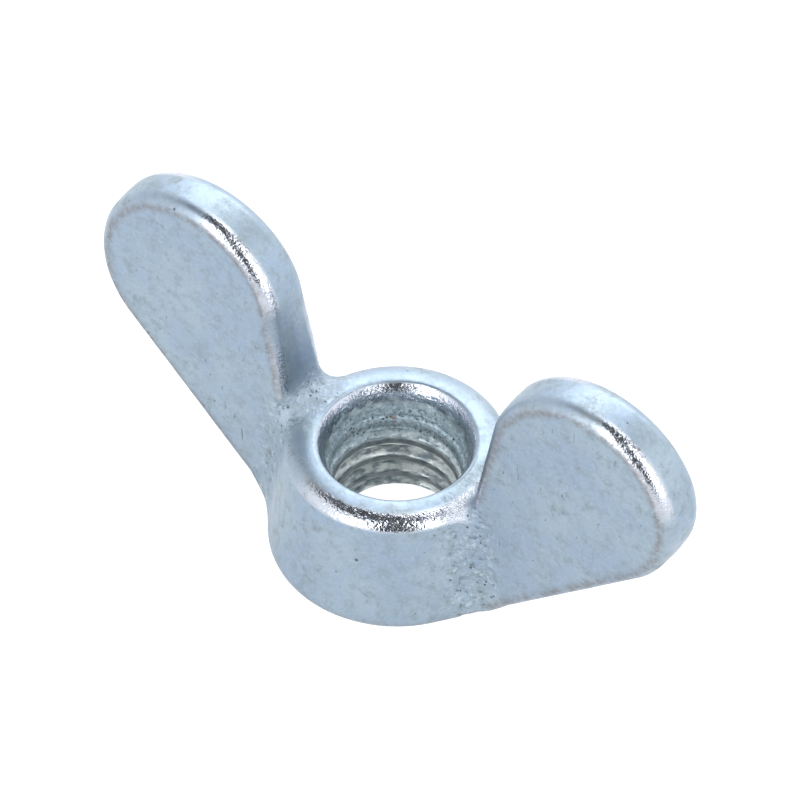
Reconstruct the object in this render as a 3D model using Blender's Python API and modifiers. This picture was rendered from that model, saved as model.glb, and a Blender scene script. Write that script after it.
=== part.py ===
"""Wing nut, M8, rounded wings: one zinc-plated steel forging with a tapped hole.

Frame: metres, +Z up. The origin is the centre of the flat bearing face at the bottom of the
hub, +Z is the bolt's axis pointing away from the clamped work, and the wings spread along X.
"""
import math

import bmesh
import bpy
from mathutils import Vector

MM = 0.001

# Driving dimensions
THREAD_MAJOR = 8.0 * MM        # nominal thread size
THREAD_PITCH = 1.25 * MM       # coarse pitch
SPAN = 39.0 * MM               # over both wings
HEIGHT = 19.7 * MM             # bearing face to the top of the wings
HUB_HEIGHT = 8.02 * MM
HUB_FOOT_RADIUS = 7.45 * MM    # where the cone would meet the bearing plane
HUB_TOP_RADIUS = 6.22 * MM     # where the cone would meet the top rim

# Hub details
HUB_TOP_FILLET = 1.1 * MM
HUB_FOOT_FILLET = 1.0 * MM
MOUTH_RADIUS = 4.53 * MM       # the punched lead-in cone's open end, flared like a bell
FLARE_DEPTH = 0.55 * MM
CONE_RADIUS = 4.05 * MM        # the cone under the flare, carried up to the top rim
CONE_SLOPE = 0.125             # loss of radius per unit of depth
FOOT_CHAMFER = 0.7 * MM        # where the hole meets the bearing face
MINOR_RADIUS = THREAD_MAJOR / 2 - 0.5 * THREAD_PITCH   # crest of the tapped thread

# Wings
LOBE_RADIUS = 6.15 * MM
ROOT_THICKNESS = 4.35 * MM     # at the bearing plane, where a wing leaves the hub
TIP_THICKNESS = 4.2 * MM       # at the bearing plane, below the far end of the lobe
FACE_DRAFT = math.radians(1.86)   # each face leans in towards the top
RIM_FILLET = 0.85 * MM
ROOT_FILLET = 1.8 * MM         # sweep from a wing's flat face into the hub
INNER_EDGE_X = 6.2 * MM        # a wing's steep inner edge, at the top rim of the hub
INNER_FILLET = 1.45 * MM       # between that edge and the top rim
LOWER_EDGE_X = 7.4 * MM        # where the sloping lower edge would cross the bearing plane
WING_START = 4.6 * MM          # first ring of a wing, inside the hub, along its 45 degree line
FOOT_LIFT = 0.01 * MM          # a wing's foot stays inside the hub's bearing face

TURN_STEPS = 72                # facets round the hub and the bore
THREAD_STEPS = 48              # facets per turn of thread
FILLET_STEPS = 7               # facets round the fillet at the foot of a wing's inner edge
LOBE_CENTRE = Vector((SPAN / 2 - LOBE_RADIUS, HEIGHT - LOBE_RADIUS))


def clear_scene():
    for old in list(bpy.data.objects):
        bpy.data.objects.remove(old, do_unlink=True)


def new_collection(name):
    collection = bpy.data.collections.new(name)
    bpy.context.scene.collection.children.link(collection)
    return collection


def new_object(name, mesh, collection):
    obj = bpy.data.objects.new(name, mesh)
    collection.objects.link(obj)
    return obj


def zinc_plated_steel():
    material = bpy.data.materials.new("zinc_plated_steel")
    material.use_nodes = True
    shader = material.node_tree.nodes["Principled BSDF"]
    shader.inputs["Base Color"].default_value = (0.47, 0.54, 0.60, 1.0)
    shader.inputs["Metallic"].default_value = 1.0
    shader.inputs["Roughness"].default_value = 0.36
    return material


def arc(centre, radius, start, end, steps):
    """Points (x, z) on an arc, angles in radians, both ends included."""
    points = []
    for i in range(steps + 1):
        angle = start + (end - start) * i / steps
        points.append((centre[0] + radius * math.cos(angle), centre[1] + radius * math.sin(angle)))
    return points


def turned(name, profile, collection, steps=TURN_STEPS, rise=0.0, turns=1, closed=False):
    """A profile of (x, z) points turned about Z; rise and turns make a helix of it."""
    mesh = bpy.data.meshes.new(name)
    edges = [(i, i + 1) for i in range(len(profile) - 1)]
    if closed:
        edges.append((len(profile) - 1, 0))
    mesh.from_pydata([(x, 0.0, z) for x, z in profile], edges, [])
    obj = new_object(name, mesh, collection)
    screw = obj.modifiers.new("turn", "SCREW")
    screw.axis = "Z"
    screw.angle = 2 * math.pi
    screw.steps = steps
    screw.render_steps = steps
    screw.iterations = turns
    screw.screw_offset = rise
    screw.use_merge_vertices = rise == 0.0
    screw.merge_threshold = 0.00001
    screw.use_smooth_shade = True
    return obj


def apply_modifiers(obj):
    """Swap the object's mesh for its evaluated one."""
    evaluated = obj.evaluated_get(bpy.context.evaluated_depsgraph_get())
    mesh = bpy.data.meshes.new_from_object(evaluated)
    obj.modifiers.clear()
    obj.data = mesh
    return mesh


def as_cutter(obj):
    obj.hide_render = True
    obj.display_type = "WIRE"
    return obj


def combine(obj, other, operation):
    boolean = obj.modifiers.new(other.name, "BOOLEAN")
    boolean.operation = operation
    boolean.solver = "EXACT"
    boolean.object = other


def hub_profile():
    """The hub's outside from its top centre down to the centre of its bearing face."""
    slope = math.atan2(HUB_FOOT_RADIUS - HUB_TOP_RADIUS, HUB_HEIGHT)
    top_z = HUB_HEIGHT - HUB_TOP_FILLET
    top = (hub_radius(top_z) - HUB_TOP_FILLET / math.cos(slope), top_z)
    foot = (hub_radius(HUB_FOOT_FILLET) - HUB_FOOT_FILLET / math.cos(slope), HUB_FOOT_FILLET)
    profile = [(0.0, HUB_HEIGHT)]
    profile += arc(top, HUB_TOP_FILLET, math.pi / 2, slope, 7)
    profile += arc(foot, HUB_FOOT_FILLET, slope, -math.pi / 2, 4)
    profile.append((0.0, 0.0))
    return profile


def hub_radius(z):
    return HUB_FOOT_RADIUS - (HUB_FOOT_RADIUS - HUB_TOP_RADIUS) * z / HUB_HEIGHT


def diagonal(point):
    """(x, z) turned into (distance out along the wing's 45 degree line, distance above it)."""
    x, z = point
    return (x + z) * math.sqrt(0.5), (z - x) * math.sqrt(0.5)


def lower_tangent():
    """Where the lower edge touches the lobe, and the edge's direction, as angles."""
    to_centre = LOBE_CENTRE - Vector((LOWER_EDGE_X, 0.0))
    direction = math.atan2(to_centre.y, to_centre.x) - math.asin(LOBE_RADIUS / to_centre.length)
    return direction - math.pi / 2, direction


def wing_edges():
    """The wing's two long edges as (x, z) points, running outwards and meeting at the tip."""
    tip = math.radians(45)
    touch, direction = lower_tangent()
    foot_x = LOWER_EDGE_X - HUB_FOOT_FILLET * math.tan(direction / 2)
    foot = (foot_x, HUB_FOOT_FILLET + FOOT_LIFT)
    lower = [(1.0 * MM, FOOT_LIFT)]
    lower += arc(foot, HUB_FOOT_FILLET, -math.pi / 2, direction - math.pi / 2, 6)
    lower += arc(LOBE_CENTRE, LOBE_RADIUS, touch, tip, 40)
    # The inner edge leans out from the hub's rim and touches the lobe on its inner side.
    foot = Vector((INNER_EDGE_X, HUB_HEIGHT))
    to_centre = LOBE_CENTRE - foot
    lean = math.atan2(to_centre.y, to_centre.x) + math.asin(LOBE_RADIUS / to_centre.length)
    fillet_centre = (INNER_EDGE_X - INNER_FILLET * math.tan(lean / 2), HUB_HEIGHT + INNER_FILLET)
    upper = [(1.0 * MM, HUB_HEIGHT)]
    upper += arc(fillet_centre, INNER_FILLET, -math.pi / 2, lean - math.pi / 2, FILLET_STEPS)
    upper += arc(LOBE_CENTRE, LOBE_RADIUS, lean + math.pi / 2, tip, 40)
    return lower, upper


def edge_height(edge, along):
    """Distance above the 45 degree line of a long edge, at a distance out along it."""
    points = [diagonal(point) for point in edge]
    for (a0, h0), (a1, h1) in zip(points, points[1:]):
        if a0 <= along <= a1:
            return h0 + (h1 - h0) * (along - a0) / (a1 - a0)
    return points[-1][1] if along > points[-1][0] else points[0][1]


def distance_to_edges(x, z, outline):
    """How far a point lies inside the wing's outline."""
    point = Vector((x, z))
    best = LOBE_RADIUS
    for a, b in zip(outline, outline[1:]):
        a, b = Vector(a), Vector(b)
        side = b - a
        share = max(0.0, min(1.0, (point - a).dot(side) / side.length_squared))
        best = min(best, (point - a - share * side).length)
    return best


def wing_half_thickness(x, z, outline):
    """Half thickness at a place on the wing: tapers, a sweep into the hub, a rounded rim."""
    share = (x - HUB_TOP_RADIUS) / (SPAN / 2 - HUB_TOP_RADIUS)
    half = 0.5 * (ROOT_THICKNESS + (TIP_THICKNESS - ROOT_THICKNESS) * max(0.0, share))
    half -= z * math.tan(FACE_DRAFT)
    # The sweep is an arc tangent to the face that runs into the hub's wall at a slight angle.
    reach = hub_radius(min(z, HUB_HEIGHT)) + ROOT_FILLET
    sweep_start = math.sqrt(reach ** 2 - (half + ROOT_FILLET) ** 2) - 0.4 * MM
    inwards = min(max(0.0, sweep_start - x), 0.85 * ROOT_FILLET)
    fade = 1.0 - max(0.0, min(1.0, (z - HUB_HEIGHT + 2.0 * MM) / (3.0 * MM)))
    half += fade * (ROOT_FILLET - math.sqrt(ROOT_FILLET ** 2 - inwards ** 2))
    fillet = min(RIM_FILLET, 0.9 * half)
    depth = fillet - min(fillet, distance_to_edges(x, z, outline))
    return half - fillet + math.sqrt(max(0.0, fillet ** 2 - depth ** 2))


def wing_stations(upper, count=34):
    """Where the wing's rings lie along its 45 degree line, with one on each facet of the inner fillet."""
    length = diagonal(LOBE_CENTRE)[0] + LOBE_RADIUS - WING_START
    stations = [WING_START + length * math.sin(0.5 * math.pi * i / (count + 0.35)) for i in range(count + 1)]
    fillet = [diagonal(point)[0] for point in upper[1:FILLET_STEPS + 2]]
    stations = [s for s in stations if s < fillet[0] - 0.2 * MM or s > fillet[-1] + 0.2 * MM]
    return sorted(stations + fillet)


def wing(name, side, collection):
    """A wing lofted through rings square to its 45 degree line; side is +1 or -1 along X."""
    lower, upper = wing_edges()
    outline = lower + upper[-2::-1]
    across = 17
    bm = bmesh.new()
    rings = []
    for along in wing_stations(upper):
        low, high = edge_height(lower, along), edge_height(upper, along)
        front, back = [], []
        for j in range(across + 1):
            height = low + (high - low) * 0.5 * (1 - math.cos(math.pi * (j + 0.35) / (across + 0.7)))
            x, z = (along - height) * math.sqrt(0.5), (along + height) * math.sqrt(0.5)
            half = wing_half_thickness(x, z, outline)
            front.append(bm.verts.new((side * x, -half, z)))
            back.append(bm.verts.new((side * x, half, z)))
        rings.append(front + back[::-1])
    for ring, following in zip(rings, rings[1:]):
        for j in range(len(ring)):
            k = (j + 1) % len(ring)
            bm.faces.new((ring[j], ring[k], following[k], following[j]))
    bm.faces.new(rings[0])
    bm.faces.new(rings[-1])
    bmesh.ops.recalc_face_normals(bm, faces=bm.faces)
    mesh = bpy.data.meshes.new(name)
    bm.to_mesh(mesh)
    bm.free()
    return new_object(name, mesh, collection)


def mouth_radius(depth):
    """Radius of the punched mouth at a depth under the top rim."""
    flare = (MOUTH_RADIUS - CONE_RADIUS) * math.exp(-depth / FLARE_DEPTH)
    return CONE_RADIUS - CONE_SLOPE * depth + flare


def bore_cutter(collection):
    """Clear space of the hole: lead-in cone on top, plain crest bore, chamfer at the foot."""
    above = HUB_HEIGHT + 2 * MM
    cone_foot_z = HUB_HEIGHT - (CONE_RADIUS - MINOR_RADIUS) / CONE_SLOPE
    # Over the rim the cutter stays narrow, clear of the wings' inner edges.
    clear = MOUTH_RADIUS + 0.6 * MM
    flare = [depth * MM for depth in (0.15, 0.35, 0.65, 1.1, 1.8)]
    profile = [
        (0.0, above),
        (clear, above),
        (clear, HUB_HEIGHT + 0.5 * MM),
        (MOUTH_RADIUS + 0.1 * MM, HUB_HEIGHT + 0.01 * MM),
        *((mouth_radius(depth), HUB_HEIGHT - depth) for depth in flare),
        (MINOR_RADIUS, cone_foot_z),
        (MINOR_RADIUS, FOOT_CHAMFER),
        (MINOR_RADIUS + FOOT_CHAMFER + 1 * MM, -1 * MM),
        (0.0, -1 * MM),
    ]
    return as_cutter(turned("bore_cutter", profile, collection))


def thread_cutter(collection):
    """The right-hand thread's groove: a trapezium carried up a helix, with closed ends."""
    root_half = THREAD_PITCH / 16
    inner = MINOR_RADIUS - 0.2 * MM
    outer = THREAD_MAJOR / 2
    inner_half = root_half + (outer - inner) * math.tan(math.radians(30))
    start = -1.5 * THREAD_PITCH
    profile = [
        (outer, start + root_half),
        (outer, start - root_half),
        (inner, start - inner_half),
        (inner, start + inner_half),
    ]
    turns = math.ceil((HUB_HEIGHT - start) / THREAD_PITCH) - 1
    cutter = turned("thread_cutter", profile, collection, THREAD_STEPS, THREAD_PITCH, turns, True)
    mesh = apply_modifiers(cutter)
    bm = bmesh.new()
    bm.from_mesh(mesh)
    bmesh.ops.holes_fill(bm, edges=[edge for edge in bm.edges if edge.is_boundary], sides=4)
    bmesh.ops.recalc_face_normals(bm, faces=bm.faces)
    bm.to_mesh(mesh)
    bm.free()
    return as_cutter(cutter)


def main():
    clear_scene()
    parts = new_collection("wing_nut_parts")
    tools = new_collection("cutters")
    nut = turned("wing_nut", hub_profile(), parts)
    for name, side in (("wing_right", 1), ("wing_left", -1)):
        combine(nut, as_cutter(wing(name, side, tools)), "UNION")
    combine(nut, bore_cutter(tools), "DIFFERENCE")
    combine(nut, thread_cutter(tools), "DIFFERENCE")
    mesh = apply_modifiers(nut)
    mesh.materials.clear()
    mesh.materials.append(zinc_plated_steel())
    mesh.shade_smooth()
    mesh.set_sharp_from_angle(angle=math.radians(35))


main()
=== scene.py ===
"""The looks of an M8 wing nut with rounded wings: one forged, tapped and zinc-plated piece.

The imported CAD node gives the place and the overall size. The visible piece is made from distance
functions in millimetres: a conical hub and two tapered wings, blended as a forging is, with a
punched and tapped hole cut through it.
"""
import math

import bmesh
import bpy
import numpy as np
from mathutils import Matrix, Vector, noise


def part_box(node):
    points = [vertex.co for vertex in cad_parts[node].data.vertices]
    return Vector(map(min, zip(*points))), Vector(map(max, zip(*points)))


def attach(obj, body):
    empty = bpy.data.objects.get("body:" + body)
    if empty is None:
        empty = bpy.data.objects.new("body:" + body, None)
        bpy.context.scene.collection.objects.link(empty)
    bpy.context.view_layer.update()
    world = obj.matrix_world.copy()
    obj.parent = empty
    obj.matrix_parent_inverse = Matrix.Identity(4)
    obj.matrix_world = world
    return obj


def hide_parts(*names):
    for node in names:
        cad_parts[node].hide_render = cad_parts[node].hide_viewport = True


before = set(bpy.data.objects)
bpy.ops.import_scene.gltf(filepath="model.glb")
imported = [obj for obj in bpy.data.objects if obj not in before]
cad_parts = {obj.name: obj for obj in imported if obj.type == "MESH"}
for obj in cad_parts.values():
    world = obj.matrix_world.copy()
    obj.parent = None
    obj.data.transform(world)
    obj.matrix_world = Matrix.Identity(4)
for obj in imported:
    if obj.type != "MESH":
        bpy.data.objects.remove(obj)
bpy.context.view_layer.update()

MM = 0.001
high = np.array(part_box("wing_nut")[1]) / MM

# Whole nut, a hair inside the CAD solid
SKIN = 0.03
HALF_SPAN = high[0] - SKIN
HEIGHT = high[2] - SKIN

# Hub
HUB_HEIGHT = 7.99
CONE_LOSS = 0.16            # radius lost from the bearing plane up to the widest rounded point
FOOT_RADIUS = high[1] - SKIN + CONE_LOSS   # the cone carried down to the bearing plane
TOP_RADIUS = 6.19           # the cone carried up to the top
TOP_FILLET = (0.88, 1.40)   # down the wall, in over the top
FOOT_FILLET = 0.98
FOOT_GROWTH = 0.6           # share by which that fillet grows under the wings

# Punched hole
MOUTH_RADIUS = 4.54
CONE_SLOPE = 0.125
BELL_FLARE = 0.49
BELL_DEPTH = 0.62
LIP_FILLET = 0.12
HOLE_FACETS = 220
HOLE_STEP = 0.075

# Wings
LOBE_RADIUS = 6.14
LOBE_X = HALF_SPAN - LOBE_RADIUS
LOBE_Z = HEIGHT - LOBE_RADIUS
ROOT_THICKNESS = 4.33
TIP_THICKNESS = 4.19
FACE_DRAFT = math.radians(1.86)
RIM_FILLET = (0.70, 0.88)   # in over the face, across the rim
RIM_DRAFT = 0.045           # lean of the rim, per unit away from the wing's middle plane
LOWER_EDGE_X = 7.37         # where the lower edge would cross the bearing plane
INNER_EDGE_X = 6.20         # where the inner edge would meet the hub's top
ROOT_BLEND = 1.61           # from a wing's flat face into the hub
INNER_BLEND = 1.44          # from a wing's inner edge on to the hub's top
FOOT_BLEND = 0.5            # added to the root's blend at the bearing plane

# Thread
PITCH = 1.25
MAJOR_RADIUS = 4.0
MINOR_RADIUS = MAJOR_RADIUS - 0.5 * PITCH
THREAD_START = math.radians(38.6)
THREAD_FADE = (4.8, 6.2)    # heights between which the thread turns into scratches
FOOT_CHAMFER = 0.7

# Skin
WORN_SIDE = (0.583, -0.812)   # the way the most rubbed part of the hub's top edge faces
RUST_SPECK = (-2.36, 2.95, 5.75)
RUST_SIZE = 0.11

# Camera, in millimetres as all lengths above
CAMERA_AZIMUTH = math.radians(35.686)
CAMERA_ELEVATION = math.radians(47.187)
CAMERA_AIM = (0.183, 7.659)   # right and up in the picture, from the origin
CAMERA_DISTANCE = 594.97
LENS = 476.1

# Studio, in metres and degrees. An upright soft box has a name, azimuths from and to, heights
# from and to, and a brightness on the scale of the floor's glow. The gap between the two front
# boxes is where the camera stands.
FLOOR_SIZE = 3.0
FLOOR_GLOW = 0.98
ROOM_GLOW = 0.14
BOXES = (
    ("front_left_box", -109, -76, 0.01, 0.95, 3.8),
    ("front_right_box", -32, -1, 0.01, 0.95, 3.8),
    ("side_left_box", -150, -109, 0.01, 0.80, 1.4),
    ("left_box", 152, 210, 0.01, 0.75, 1.1),
    ("back_right_box", -1, 75, 0.01, 0.62, 1.5),
    ("back_left_low_box", 75, 152, 0.01, 0.36, 1.6),
    ("back_left_box", 75, 152, 0.36, 0.90, 3.7),
)
TOP_BOX = (0.60, 0.22, 3.2)   # width, depth and brightness
BOX_DISTANCE = 0.6          # how far from the nut all the boxes are

VOXEL = 0.158               # cells of the grid that the surface is first found on
SHARP_ANGLE = math.radians(50)


def round_max(a, b, radius):
    """Both shapes at once, with the edge between them rounded off."""
    corner = np.hypot(np.maximum(a + radius, 0), np.maximum(b + radius, 0))
    return np.minimum(np.maximum(a, b), -radius) + corner


def oval_max(a, b, reach_a, reach_b):
    """Both shapes at once; the rounding starts at different depths under the two surfaces."""
    near_a, near_b = np.maximum(a / reach_a + 1, 0), np.maximum(b / reach_b + 1, 0)
    both = near_a ** 2 + near_b ** 2
    scale = (reach_a * near_a ** 2 + reach_b * near_b ** 2) / np.maximum(both, 1e-6)
    return np.where(both > 1e-6, (np.sqrt(both) - 1) * scale, np.maximum(a, b))


def round_min(a, b, radius):
    """Either shape, with the corner between them filled by a fillet."""
    corner = np.hypot(np.maximum(radius - a, 0), np.maximum(radius - b, 0))
    return np.maximum(np.minimum(a, b), radius) - corner


def smooth_step(value, start, end):
    """0 before the start, 1 after the end, and a soft step between them."""
    share = np.clip((value - start) / (end - start), 0, 1)
    return share * share * (3 - 2 * share)


def hub_distance(x, y, z):
    """Distance to the cone with its rounded top; its foot is rounded later."""
    slope = math.atan2(FOOT_RADIUS - TOP_RADIUS, HUB_HEIGHT)
    radius_here = FOOT_RADIUS - (FOOT_RADIUS - TOP_RADIUS) * z / HUB_HEIGHT
    wall = (np.hypot(x, y) - radius_here) * math.cos(slope)
    return oval_max(wall, z - HUB_HEIGHT, TOP_FILLET[1], TOP_FILLET[0])


def tangent(px, pz, side):
    """Outward normal of the line from a point that touches the lobe on one side of it."""
    dx, dz = LOBE_X - px, LOBE_Z - pz
    angle = math.atan2(dz, dx) + side * math.asin(LOBE_RADIUS / math.hypot(dx, dz))
    return np.array((-side * math.sin(angle), side * math.cos(angle)))


def wing_outline(x, z):
    """Distance in the XZ plane to the outline of the wing on the +X side."""
    lobe = np.hypot(x - LOBE_X, z - LOBE_Z) - LOBE_RADIUS
    below = tangent(LOWER_EDGE_X, 0.0, -1)
    inside = tangent(INNER_EDGE_X, HUB_HEIGHT, 1)
    lower = (x - LOWER_EDGE_X) * below[0] + z * below[1]
    inner = (x - INNER_EDGE_X) * inside[0] + (z - HUB_HEIGHT) * inside[1]
    # The stretch between the two long edges ends at the chord through their tangent points.
    chord = below - inside
    chord = np.array((-chord[1], chord[0])) / np.hypot(*chord)
    if chord[1] < 0:
        chord = -chord
    cap = (x - LOBE_X - LOBE_RADIUS * below[0]) * chord[0]
    cap = cap + (z - LOBE_Z - LOBE_RADIUS * below[1]) * chord[1]
    web = np.maximum(np.maximum(lower, inner), cap)
    return np.minimum(lobe, web)


def wing_half_thickness(x, z):
    """Half the thickness of a wing, which thins outwards and upwards."""
    share = (x - TOP_RADIUS) / (HALF_SPAN - TOP_RADIUS)
    thickness = ROOT_THICKNESS + (TIP_THICKNESS - ROOT_THICKNESS) * share
    return 0.5 * thickness - z * math.tan(FACE_DRAFT)


def over_hub(x, z):
    """1 beside the lower part of a wing's inner edge, where the rounding is sharper."""
    return (1 - smooth_step(x, 7.3, 9.0)) * smooth_step(z, 5.0, 8.0) * (1 - smooth_step(z, 10.0, 15.0))


def rim_reach(x, z):
    """How far a wing's rounded edge reaches in over the face and across the rim."""
    share = 0.8 + 0.2 * smooth_step(z, 9.0, 14.0) - 0.1 * over_hub(x, z)
    return RIM_FILLET[0] * share, RIM_FILLET[1] * share


def wing_distance(x, y, z):
    """Distance to the wing on the +X side; the other one is its mirror image."""
    outline = wing_outline(x, z) + RIM_DRAFT * np.abs(y)
    return oval_max(outline, np.abs(y) - wing_half_thickness(x, z), *rim_reach(x, z))


def body_distance(x, y, z):
    """The forging before its hole is punched."""
    hub = hub_distance(x, y, z)
    wing = wing_distance(np.abs(x), y, z)
    high_up = smooth_step(z, HUB_HEIGHT - 2.5, HUB_HEIGHT - 0.2)
    low_down = 1 - smooth_step(z, 0.5, 3.5)
    blend = ROOT_BLEND + (INNER_BLEND - ROOT_BLEND) * high_up + FOOT_BLEND * low_down
    foot = FOOT_FILLET * (1 + FOOT_GROWTH * smooth_step(np.abs(x), 6.0, 7.4))
    return round_max(round_min(hub, wing, blend), -z, foot)


def crossed_cells(solid):
    """The cells of a grid that have the surface across one of their edges."""
    cells = tuple(n - 1 for n in solid.shape)
    crossed = np.zeros(cells, dtype=bool)
    for axis in range(3):
        for i in (0, 1):
            for j in (0, 1):
                offset = [i, j]
                offset.insert(axis, 0)
                first = tuple(slice(o, o + n) for o, n in zip(offset, cells))
                offset[axis] = 1
                second = tuple(slice(o, o + n) for o, n in zip(offset, cells))
                crossed |= solid[first] != solid[second]
    return crossed


def surface_net(distance, lower, upper, step):
    """Quads on the zero surface of a distance function, one vertex in each crossed cell."""
    axes = [np.arange(a - 2.5 * step, b + 3 * step, step, dtype=np.float32) for a, b in zip(lower, upper)]
    solid = distance(*np.meshgrid(*axes, indexing="ij", sparse=True)).astype(np.float32) < 0
    used = crossed_cells(solid)
    number = np.full(used.shape, -1)
    number[used] = np.arange(used.sum())
    corner = np.argwhere(used)
    points = np.stack([axes[k][corner[:, k]] + 0.5 * step for k in range(3)], axis=1).astype(float)
    quads = []
    for axis in range(3):
        u, v = (axis + 1) % 3, (axis + 2) % 3
        inner = [slice(1, -1)] * 3
        inner[axis] = slice(0, -1)
        after = [slice(1, -1)] * 3
        after[axis] = slice(1, None)
        here, there = solid[tuple(inner)], solid[tuple(after)]
        index = np.argwhere(here != there) + [0 if k == axis else 1 for k in range(3)]
        leaving = solid[tuple(index.T)]
        ring = []
        for du, dv in ((1, 1), (0, 1), (0, 0), (1, 0)):
            cell = index.copy()
            cell[:, u] -= du
            cell[:, v] -= dv
            ring.append(number[tuple(cell.T)])
        ring = np.stack(ring, axis=1)
        ring[~leaving] = ring[~leaving][:, ::-1]
        quads.append(ring)
    return points, np.concatenate(quads)


def gradient(distance, points, reach=0.01):
    """Slopes of a distance function along the three axes."""
    slopes = []
    for axis in range(3):
        shift = np.zeros(3)
        shift[axis] = reach
        slopes.append(distance(*(points + shift).T) - distance(*(points - shift).T))
    return np.stack(slopes, axis=1) / (2 * reach)


def settle(distance, points, rounds=4):
    """Moves points on to the zero surface."""
    for _ in range(rounds):
        slope = gradient(distance, points)
        length = np.maximum((slope ** 2).sum(axis=1), 0.05)
        points = points - (distance(*points.T) / length)[:, None] * slope
    return points


def mesh_object(name, points, faces):
    """A new object in the scene, from points in millimetres."""
    mesh = bpy.data.meshes.new(name)
    mesh.from_pydata((points * MM).tolist(), [], faces.tolist())
    obj = bpy.data.objects.new(name, mesh)
    bpy.context.scene.collection.objects.link(obj)
    return obj


def relax(points, quads, rounds=2):
    """Evens out the net before it settles: each vertex moves to the mean of its neighbours."""
    pairs = np.concatenate([quads[:, [k, (k + 1) % 4]] for k in range(4)])
    for _ in range(rounds):
        total = np.zeros_like(points)
        count = np.zeros(len(points))
        np.add.at(total, pairs[:, 0], points[pairs[:, 1]])
        np.add.at(count, pairs[:, 0], 1)
        points = 0.5 * points + 0.5 * total / count[:, None]
    return points


def make_body():
    lower, upper = (-HALF_SPAN, -FOOT_RADIUS, 0), (HALF_SPAN, FOOT_RADIUS, HEIGHT)
    points, quads = surface_net(body_distance, lower, upper, VOXEL)
    for _ in range(3):
        points = settle(body_distance, relax(points, quads), 2)
    return mesh_object("forging", settle(body_distance, points), quads)


def bell_radius(z):
    """The punched mouth: it flares near the rim and runs down almost straight to the thread."""
    depth = HUB_HEIGHT - z
    return MOUTH_RADIUS - BELL_FLARE * (1 - np.exp(-depth / BELL_DEPTH)) - CONE_SLOPE * depth


def thread_phase(angle, z):
    """Where a point lies across the thread: 0 is the middle of the groove, 0.5 of the crest."""
    turn = (z / PITCH - (angle - THREAD_START) / (2 * math.pi)) % 1.0
    return np.abs(turn - 0.5)


def hole_radius(angle, z):
    """Radius of the hole: bell mouth, tapped thread and the chamfer at its foot."""
    # The groove has 60 degree flanks and a flat an eighth of the pitch wide.
    flank = (thread_phase(angle, z) * PITCH - PITCH / 16) / math.tan(math.radians(30))
    thread = np.clip(MAJOR_RADIUS - flank, MINOR_RADIUS, MAJOR_RADIUS)
    chamfer = MINOR_RADIUS + FOOT_CHAMFER - z
    # The thread's last turns are only scratched into the wide end of the cone.
    bell = bell_radius(z)
    faded = 1 - 0.55 * smooth_step(z, *THREAD_FADE)
    return np.maximum(bell + faded * np.maximum(thread - bell, 0), chamfer)


def make_hole_cutter():
    """A closed plug in the shape of the hole, running past both of its ends."""
    heights = np.append(np.arange(-0.5, HUB_HEIGHT - LIP_FILLET, HOLE_STEP), HUB_HEIGHT - 0.5 * LIP_FILLET)
    angles = np.linspace(0, 2 * math.pi, HOLE_FACETS, endpoint=False)
    rows = [np.stack((hole_radius(angles, z), np.full(HOLE_FACETS, z)), axis=1) for z in heights]
    # The lip rolls over on to the top rim.
    for out, up in ((0.35, 0.17), (0.75, 0.07), (1.2, 0.0), (6.0, -0.8)):
        level = np.full(HOLE_FACETS, HUB_HEIGHT - up * LIP_FILLET)
        rows.append(np.stack((np.full(HOLE_FACETS, MOUTH_RADIUS + out * LIP_FILLET), level), axis=1))
    # Small rings at both ends, which one face each closes
    rows.append(rows[-1] * (0, 1) + (0.5, 1.0))
    rows.insert(0, rows[0] * (0, 1) + (0.5, -0.3))
    points = np.concatenate([
        np.stack((row[:, 0] * np.cos(angles), row[:, 0] * np.sin(angles), row[:, 1]), axis=1)
        for row in rows
    ])
    ring = np.arange(HOLE_FACETS)
    following = (ring + 1) % HOLE_FACETS
    quads = np.concatenate([
        np.stack((ring, following, following + HOLE_FACETS, ring + HOLE_FACETS), axis=1) + k * HOLE_FACETS
        for k in range(len(rows) - 1)
    ])
    cutter = mesh_object("hole_cutter", points, quads)
    bm = bmesh.new()
    bm.from_mesh(cutter.data)
    bmesh.ops.holes_fill(bm, edges=[e for e in bm.edges if e.is_boundary], sides=0)
    bmesh.ops.recalc_face_normals(bm, faces=bm.faces)
    bm.to_mesh(cutter.data)
    bm.free()
    return cutter


def noise_field(points, size, seed):
    """Smooth noise between about -1 and 1, with lumps of a size in millimetres."""
    shifted = points / size + np.array((seed * 7.31, seed * 3.17, seed * 5.73))
    return np.array([noise.noise(Vector(p)) for p in shifted])


def fillet_share(a, b, reach_a, reach_b):
    """1 on the rounded edge between two surfaces, from their distances; 0 off it."""
    return smooth_step(a, -reach_a, -0.75 * reach_a) * smooth_step(b, -reach_b, -0.75 * reach_b)


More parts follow.
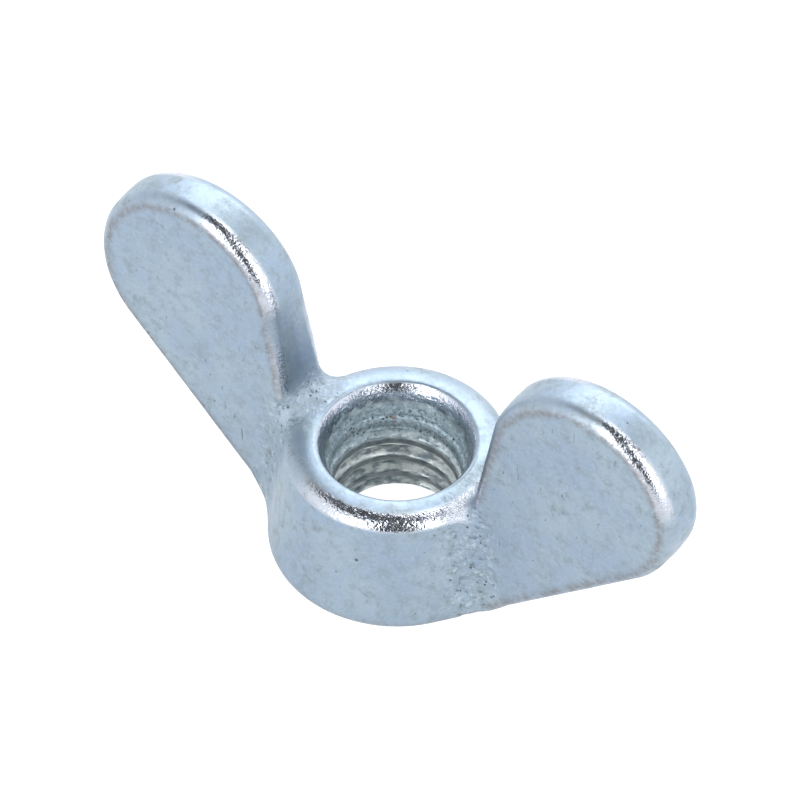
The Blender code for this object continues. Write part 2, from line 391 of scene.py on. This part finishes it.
def hole_masks(points):
    """The parts of the hole, as shares from 0 to 1."""
    x, y, z = points.T
    depth = HUB_HEIGHT - z
    in_hole = smooth_step(MOUTH_RADIUS + 0.15 - np.hypot(x, y), 0.0, 0.1)
    in_hole = in_hole * smooth_step(HUB_HEIGHT + 0.1 - z, 0.0, 0.1)
    # The bell's shine gives way to the torn wall at a ragged line.
    ragged = depth + 0.35 * noise_field(points, 0.5, 6)
    phase = thread_phase(np.arctan2(y, x), z)
    # Share of painted shade on the thread: full on its crests, half in the middles of its grooves
    crest = np.maximum(smooth_step(phase, 0.31, 0.39), 0.5 * (1 - smooth_step(phase, 0.05, 0.15)))
    return {
        "in_hole": in_hole,
        "bell": in_hole * smooth_step(depth, 0.02, 0.15) * (1 - smooth_step(ragged, 0.6, 1.4)),
        "inside": in_hole * smooth_step(ragged, 0.6, 1.5),
        "cone": in_hole * smooth_step(ragged, 0.8, 1.6) * (1 - smooth_step(depth, 3.0, 4.2)),
        "crest": crest * in_hole * (1 - smooth_step(z, 4.8, 6.6)),
        "rust": np.exp(-((points - RUST_SPECK) ** 2).sum(axis=1) / RUST_SIZE ** 2),
    }


def wing_rubbed(x, y, z, outline, face, reach):
    """Shine on a wing's rounded edge: over one side of the lobe, and down beside the hub."""
    across = -np.sign(y) * (x - np.sign(x) * LOBE_X)
    worn = 0.08 + 0.92 * smooth_step(across, 0.3, 2.2) * smooth_step(z - LOBE_Z, 0.5, 2.0)
    worn = np.maximum(worn, 0.7 * over_hub(np.abs(x), z))
    return worn * fillet_share(outline + RIM_DRAFT * np.abs(y), face, *reach)


def hub_rubbed(x, y, z):
    """Shine on the hub's rounded top edge, most of it on one side."""
    radius = np.hypot(x, y)
    wall = radius - FOOT_RADIUS + (FOOT_RADIUS - TOP_RADIUS) * z / HUB_HEIGHT
    facing = (WORN_SIDE[0] * x + WORN_SIDE[1] * y) / np.maximum(radius, 1e-6)
    worn = 0.12 + 0.88 * smooth_step(facing, 0.30, 0.75)
    worn = worn * smooth_step(wall, -0.66 * TOP_FILLET[1], -0.42 * TOP_FILLET[1])
    return worn * fillet_share(wall, z - HUB_HEIGHT, TOP_FILLET[1], TOP_FILLET[0])


def masks(points):
    """Where on the forging each point lies, as shares from 0 to 1."""
    x, y, z = points.T
    share = hole_masks(points)
    off_hole = 1 - share.pop("in_hole")
    outline = wing_outline(np.abs(x), z)
    face = np.abs(y) - wing_half_thickness(np.abs(x), z)
    reach = rim_reach(np.abs(x), z)
    hub, wing = hub_distance(x, y, z), wing_distance(np.abs(x), y, z)
    off_wing = smooth_step(wing, 0.0, 0.8) * off_hole
    off_hub = smooth_step(np.hypot(x, y), FOOT_RADIUS - 0.3, FOOT_RADIUS + 1.2)
    off_hub = np.maximum(off_hub, smooth_step(z, HUB_HEIGHT + 0.2, HUB_HEIGHT + 1.2))
    share["rim"] = off_hub * smooth_step(outline, -reach[0], -0.4 * reach[0])
    on_wing = off_hub * wing_rubbed(x, y, z, outline, face, reach)
    share["rubbed"] = np.maximum(on_wing, off_wing * hub_rubbed(x, y, z))
    # Dirt lies where a wing's flat face meets its rounded edge; the same share also darkens a band round
    # the foot, just above the bearing plane.
    border = off_hub * smooth_step(face, -0.5, -0.1) * np.exp(-((outline + reach[0]) / 0.26) ** 2)
    share["border"] = np.maximum(border, 0.7 * off_hole * np.exp(-((z - 0.35) / 0.35) ** 2))
    # The rough corners where the wings spring from the hub
    share["root"] = smooth_step(-np.maximum(np.abs(hub), np.abs(wing)), -2.6, -0.2) * off_hole
    return share


def roughen(mesh):
    """Gives the forging its uneven skin, and stores the shares that the material reads."""
    count = len(mesh.vertices)
    points, normals = np.empty(count * 3), np.empty(count * 3)
    mesh.vertices.foreach_get("co", points)
    mesh.vertices.foreach_get("normal", normals)
    points, normals = points.reshape(-1, 3) / MM, normals.reshape(-1, 3)
    share = masks(points)
    outside = 1 - np.maximum(share["inside"], share["bell"])
    # Painted shade: faces that look down take the border share too, so they get the grime's brown colour.
    under = smooth_step(-normals[:, 2], 0.1, 0.6) * smooth_step(points[:, 2], 0.2, 0.6)
    share["border"] = np.maximum(share["border"], 0.8 * under * outside)
    waves = noise_field(points, 4.5, 1)
    lumps = noise_field(points, 1.3, 2)
    grain = noise_field(points, 0.55, 3)
    pits = smooth_step(noise_field(points, 0.42, 4), 0.3, 0.7)
    front_right = smooth_step(points[:, 0] - points[:, 1], 3.0, 8.0)
    root = share["root"] * (0.35 + 0.65 * front_right)
    lift = outside * (0.014 * waves - 0.012 + 0.006 * lumps)
    lift += root * (0.03 * lumps + 0.030 * grain - 0.02 - 0.13 * pits)
    lift += share.pop("rim") * 0.004 * grain
    lift += share["cone"] * (0.05 * grain + 0.04 * lumps - 0.06 * pits)
    lift += share["bell"] * 0.008 * grain
    moved = points + lift[:, None] * normals
    moved[:, 2] = np.where(points[:, 2] < 0.02, points[:, 2], np.maximum(moved[:, 2], 0.0))
    mesh.vertices.foreach_set("co", (moved * MM).ravel())
    for name, values in share.items():
        mesh.attributes.new(name, "FLOAT", "POINT").data.foreach_set("value", values)
    mesh.update()


def make_nut():
    nut = make_body()
    nut.name = "plated_wing_nut"
    cutter = make_hole_cutter()
    cut = nut.modifiers.new("hole", "BOOLEAN")
    cut.operation = "DIFFERENCE"
    cut.solver = "MANIFOLD"
    cut.object = cutter
    evaluated = nut.evaluated_get(bpy.context.evaluated_depsgraph_get())
    mesh = bpy.data.meshes.new_from_object(evaluated)
    nut.modifiers.clear()
    nut.data = mesh
    bpy.data.objects.remove(cutter, do_unlink=True)
    roughen(mesh)
    mesh.shade_smooth()
    mesh.set_sharp_from_angle(angle=SHARP_ANGLE)
    return nut


class Nodes:
    """Short names for the shader nodes that the material needs."""

    def __init__(self, tree):
        self.tree = tree
        self.place = self.add("ShaderNodeTexCoord").outputs["Object"]

    def add(self, kind, inputs=None, **settings):
        node = self.tree.nodes.new(kind)
        for name, value in settings.items():
            setattr(node, name, value)
        for name, value in (inputs or {}).items():
            if isinstance(value, bpy.types.NodeSocket):
                self.tree.links.new(value, node.inputs[name])
            else:
                node.inputs[name].default_value = value
        return node

    def stretched(self, **settings):
        """Object coordinates, turned or scaled, for a pattern that lies one way."""
        return self.add("ShaderNodeMapping", {"Vector": self.place, **settings}).outputs["Vector"]

    def noise(self, size, detail=2.0, roughness=0.5, distortion=0.0, place=None):
        """Noise with lumps of a size in millimetres."""
        inputs = {"Vector": place or self.place, "Scale": 1 / (size * MM), "Detail": detail,
                  "Roughness": roughness, "Distortion": distortion}
        return self.add("ShaderNodeTexNoise", inputs).outputs["Fac"]

    def ramp(self, value, low, high, to_low=0.0, to_high=1.0):
        """A soft step from one value to another, over a stretch of the input."""
        inputs = {"Value": value, "From Min": low, "From Max": high,
                  "To Min": to_low, "To Max": to_high}
        return self.add("ShaderNodeMapRange", inputs, interpolation_type="SMOOTHSTEP").outputs["Result"]

    def math(self, operation, a, b=0.0):
        return self.add("ShaderNodeMath", {0: a, 1: b}, operation=operation).outputs["Value"]

    def mix(self, share, a, b):
        node = self.add("ShaderNodeMix", data_type="RGBA")
        for socket, value in ((0, share), (6, a), (7, b)):
            if isinstance(value, bpy.types.NodeSocket):
                self.tree.links.new(value, node.inputs[socket])
            else:
                node.inputs[socket].default_value = value
        return node.outputs[2]

    def mask(self, name):
        """One of the shares stored on the mesh."""
        return self.add("ShaderNodeAttribute", attribute_name=name).outputs["Fac"]

    def specks(self, spacing, radius, share):
        """Small round spots, one at most in each cell, present in a share of the cells."""
        cells = self.add("ShaderNodeTexVoronoi", {"Vector": self.place, "Scale": 1 / (spacing * MM)})
        chosen = self.add("ShaderNodeSeparateColor", {"Color": cells.outputs["Color"]}).outputs["Red"]
        spot = self.ramp(cells.outputs["Distance"], radius / spacing, 0.45 * radius / spacing)
        return self.math("MULTIPLY", spot, self.math("LESS_THAN", chosen, share))


def plating_colour(n, share, pattern, dirt_and_shade):
    """Blue-bright plating, cloudy between bluer and greener greys."""
    clouds, mottle, flecks, grain, dents = pattern
    colour = n.mix(n.ramp(clouds, 0.40, 0.60), (0.275, 0.352, 0.448, 1), (0.302, 0.380, 0.450, 1))
    colour = n.mix(n.ramp(mottle, 0.42, 0.66, 0.0, 0.55), colour, (0.225, 0.285, 0.330, 1))
    colour = n.mix(n.ramp(flecks, 0.48, 0.68, 0.0, 0.40), colour, (0.38, 0.45, 0.51, 1))
    colour = n.mix(n.ramp(grain, 0.56, 0.76, 0.0, 0.45), colour, (0.16, 0.20, 0.24, 1))
    # Dented skin in the corners beside the hub: painted shade in the hollows and painted highlights on
    # their edges
    hollow_shade = n.math("MULTIPLY", n.ramp(dents, 0.44, 0.32), share["root"])
    ridge_highlight = n.math("MULTIPLY", n.ramp(dents, 0.54, 0.66), share["root"])
    colour = n.mix(n.math("MULTIPLY", hollow_shade, 0.80), colour, (0.12, 0.15, 0.16, 1))
    colour = n.mix(n.math("MULTIPLY", ridge_highlight, 0.60), colour, (0.52, 0.59, 0.63, 1))
    # Where it is rubbed the plating shines almost white.
    colour = n.mix(n.math("MULTIPLY", share["gloss"], 0.75), colour, (0.54, 0.56, 0.62, 1))
    # Brownish grime held along the borders of the wings, the same brown as painted shade on faces that
    # look down and as a darker band round the foot, and stains
    colour = n.mix(n.math("MULTIPLY", dirt_and_shade, 0.72), colour, (0.205, 0.192, 0.190, 1))
    broad, fine = n.noise(1.6, 6.0, 0.75), n.noise(0.18, 3.0, 0.7)
    stain = n.math("MULTIPLY", n.ramp(broad, 0.54, 0.66), n.ramp(fine, 0.44, 0.62))
    return n.mix(n.math("MULTIPLY", stain, 0.50), colour, (0.16, 0.16, 0.155, 1))


def hole_colour(n, share, flecks):
    """A torn grey wall, and below it a yellowish thread with painted shade on its crests."""
    torn = n.mix(n.ramp(flecks, 0.40, 0.62), (0.38, 0.48, 0.53, 1), (0.62, 0.73, 0.80, 1))
    # Painted shade on the thread's crests, weaker over the torn wall
    torn = n.mix(n.math("MULTIPLY", share["crest"], 0.45), torn, (0.07, 0.09, 0.10, 1))
    streaks = n.noise(0.9, 4.0, 0.6, place=n.stretched(Scale=(1.0, 1.0, 4.0)))
    thread = n.mix(n.ramp(streaks, 0.36, 0.62), (0.24, 0.30, 0.33, 1), (0.80, 0.84, 0.82, 1))
    # Painted shade on the crests and, at half strength, in the middles of the grooves
    thread = n.mix(n.math("MULTIPLY", share["crest"], 0.88), thread, (0.07, 0.09, 0.10, 1))
    return n.mix(share["cone"], thread, torn)


def zinc_material():
    material = bpy.data.materials.new("zinc_plated_steel")
    material.use_nodes = True
    tree = material.node_tree
    shader = tree.nodes["Principled BSDF"]
    n = Nodes(tree)
    names = ("inside", "border", "root", "cone", "bell", "rubbed", "crest", "rust")
    share = {name: n.mask(name) for name in names}
    share["root"] = n.ramp(share["root"], 0.0, 0.75)
    share["gloss"] = n.math("MAXIMUM", share["bell"], share["rubbed"])
    root, cone, gloss = share["root"], share["cone"], share["gloss"]

    clouds = n.noise(3.2, 4.0, 0.6)
    mottle = n.noise(0.8, 4.0, 0.65)
    flecks = n.noise(0.22, 4.0, 0.65)
    grain = n.noise(0.11, 2.0, 0.6)
    dents = n.noise(0.42, 5.0, 0.70)
    # Grime on the wings' face borders, painted shade on faces that look down, and a darker band round the
    # foot
    dirt_and_shade = n.math("MULTIPLY", n.ramp(n.noise(0.45, 5.0, 0.80), 0.40, 0.58, 0.25, 1.0), share["border"])
    # Short scratches, lying mostly one way
    lying = n.stretched(Rotation=(0.3, 0.7, 0.2), Scale=(1.0, 1.0, 0.16))
    scratch = n.ramp(n.noise(0.16, 2.0, 0.5, 0.3, lying), 0.70, 0.76)
    scratch = n.math("MULTIPLY", scratch, n.ramp(n.noise(2.2, 2.0), 0.46, 0.58))
    # Pits: small and large ones everywhere, more where the skin is dented or torn
    spots = n.math("MULTIPLY", n.specks(0.42, 0.09, 0.45), n.math("MAXIMUM", root, cone))
    crumbs = n.math("MULTIPLY", n.ramp(n.noise(0.20, 3.0, 0.7), 0.57, 0.66), cone)
    pits = n.math("MAXIMUM", n.specks(0.7, 0.06, 0.35), n.specks(1.8, 0.13, 0.16))
    pits = n.math("MAXIMUM", pits, n.math("MAXIMUM", spots, crumbs))

    colour = plating_colour(n, share, (clouds, mottle, flecks, grain, dents), dirt_and_shade)
    colour = n.mix(n.math("MULTIPLY", scratch, 0.6), colour, (0.10, 0.10, 0.10, 1))
    colour = n.mix(share["inside"], colour, hole_colour(n, share, flecks))
    colour = n.mix(n.math("MULTIPLY", pits, 0.8), colour, (0.05, 0.055, 0.06, 1))
    colour = n.mix(share["rust"], colour, (0.42, 0.17, 0.10, 1))
    tree.links.new(colour, shader.inputs["Base Color"])

    rough = n.ramp(mottle, 0.3, 0.7, 0.36, 0.46)
    rough = n.math("ADD", rough, n.math("MULTIPLY", cone, 0.15))
    rough = n.math("ADD", rough, n.math("MULTIPLY", n.math("ADD", dirt_and_shade, pits), 0.15))
    smoother = n.math("MULTIPLY", gloss, n.ramp(flecks, 0.40, 0.60, 0.32, 0.18))
    tree.links.new(n.math("SUBTRACT", rough, smoother), shader.inputs["Roughness"])

    # Height in hundredths of a millimetre
    height = n.math("ADD", n.math("MULTIPLY", mottle, 0.8), n.math("MULTIPLY", grain, 0.35))
    height = n.math("ADD", height, n.math("MULTIPLY", flecks, 0.8))
    height = n.math("SUBTRACT", height, n.math("MULTIPLY", n.math("ADD", pits, scratch), 2.5))
    ragged = n.math("SUBTRACT", n.math("ADD", n.noise(0.32, 2.0, 0.55), n.noise(0.15, 1.0)), 1.0)
    torn = n.noise(0.3, 4.0, 0.7)
    for where, relief, depth in ((gloss, ragged, 2.6), (cone, torn, 7.0), (root, dents, 14.0)):
        height = n.math("ADD", height, n.math("MULTIPLY", n.math("MULTIPLY", where, relief), depth))
    bump = n.add("ShaderNodeBump", {"Height": height, "Distance": 0.01 * MM, "Strength": 1.0})
    tree.links.new(bump.outputs["Normal"], shader.inputs["Normal"])
    shader.inputs["Metallic"].default_value = 1.0
    return material


def make_camera():
    """Looks down on the nut from the front right with a long lens."""
    turned = (math.cos(CAMERA_AZIMUTH), math.sin(CAMERA_AZIMUTH))
    level = math.cos(CAMERA_ELEVATION)
    right = Vector((*turned, 0))
    back = Vector((turned[1] * level, -turned[0] * level, math.sin(CAMERA_ELEVATION)))
    up = back.cross(right)
    aim = (right * CAMERA_AIM[0] + up * CAMERA_AIM[1]) * MM
    data = bpy.data.cameras.new("camera")
    data.lens = LENS
    data.clip_start = 0.01
    data.clip_end = 100
    camera = bpy.data.objects.new("camera", data)
    bpy.context.scene.collection.objects.link(camera)
    camera.location = aim + back * CAMERA_DISTANCE * MM
    camera.rotation_euler = back.to_track_quat("Z", "Y").to_euler()
    bpy.context.scene.camera = camera


def make_floor():
    bpy.ops.mesh.primitive_plane_add(size=FLOOR_SIZE, location=(0, 0, 0))
    floor = bpy.context.object
    floor.name = "floor"
    material = bpy.data.materials.new("pale_floor")
    material.use_nodes = True
    # A light table: the floor glows a little, so the nut casts hardly any shadow.
    shader = material.node_tree.nodes["Principled BSDF"]
    shader.inputs["Base Color"].default_value = (0.25, 0.25, 0.25, 1)
    shader.inputs["Roughness"].default_value = 0.9
    shader.inputs["Emission Color"].default_value = (0.98, 0.99, 1, 1)
    shader.inputs["Emission Strength"].default_value = FLOOR_GLOW
    floor.data.materials.append(material)


def soft_light(name, width, height, brightness, place, facing):
    """A rectangle of even light; its brightness is that of the floor's glow at 1."""
    data = bpy.data.lights.new(name, "AREA")
    data.shape = "RECTANGLE"
    data.size = width
    data.size_y = height
    data.energy = brightness * math.pi * width * height
    light = bpy.data.objects.new(name, data)
    bpy.context.scene.collection.objects.link(light)
    light.location = place
    light.rotation_euler = facing.to_track_quat("Z", "Y").to_euler()
    light.visible_camera = False


def standing_box(name, first, last, bottom, top, brightness):
    """An upright soft box, square to the ray through the middle of its azimuths."""
    middle, half = math.radians(0.5 * (first + last)), math.radians(0.5 * (last - first))
    way = Vector((math.cos(middle), math.sin(middle), 0))
    place = way * BOX_DISTANCE + Vector((0, 0, 0.5 * (bottom + top)))
    soft_light(name, 2 * BOX_DISTANCE * math.tan(half), top - bottom, brightness, place, way)


def make_light():
    world = bpy.data.worlds.new("studio")
    world.use_nodes = True
    background = world.node_tree.nodes["Background"]
    background.inputs["Color"].default_value = (0.97, 0.98, 1, 1)
    background.inputs["Strength"].default_value = ROOM_GLOW
    bpy.context.scene.world = world
    for box in BOXES:
        standing_box(*box)
    way = Vector((0.01, 0.26, 0.97)).normalized()
    soft_light("top_box", *TOP_BOX, way * BOX_DISTANCE, way)
    bpy.context.scene.view_settings.view_transform = "Standard"


nut = make_nut()
nut.data.materials.clear()
nut.data.materials.append(zinc_material())
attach(nut, "root")
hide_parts("wing_nut")
make_floor()
make_camera()
make_light()
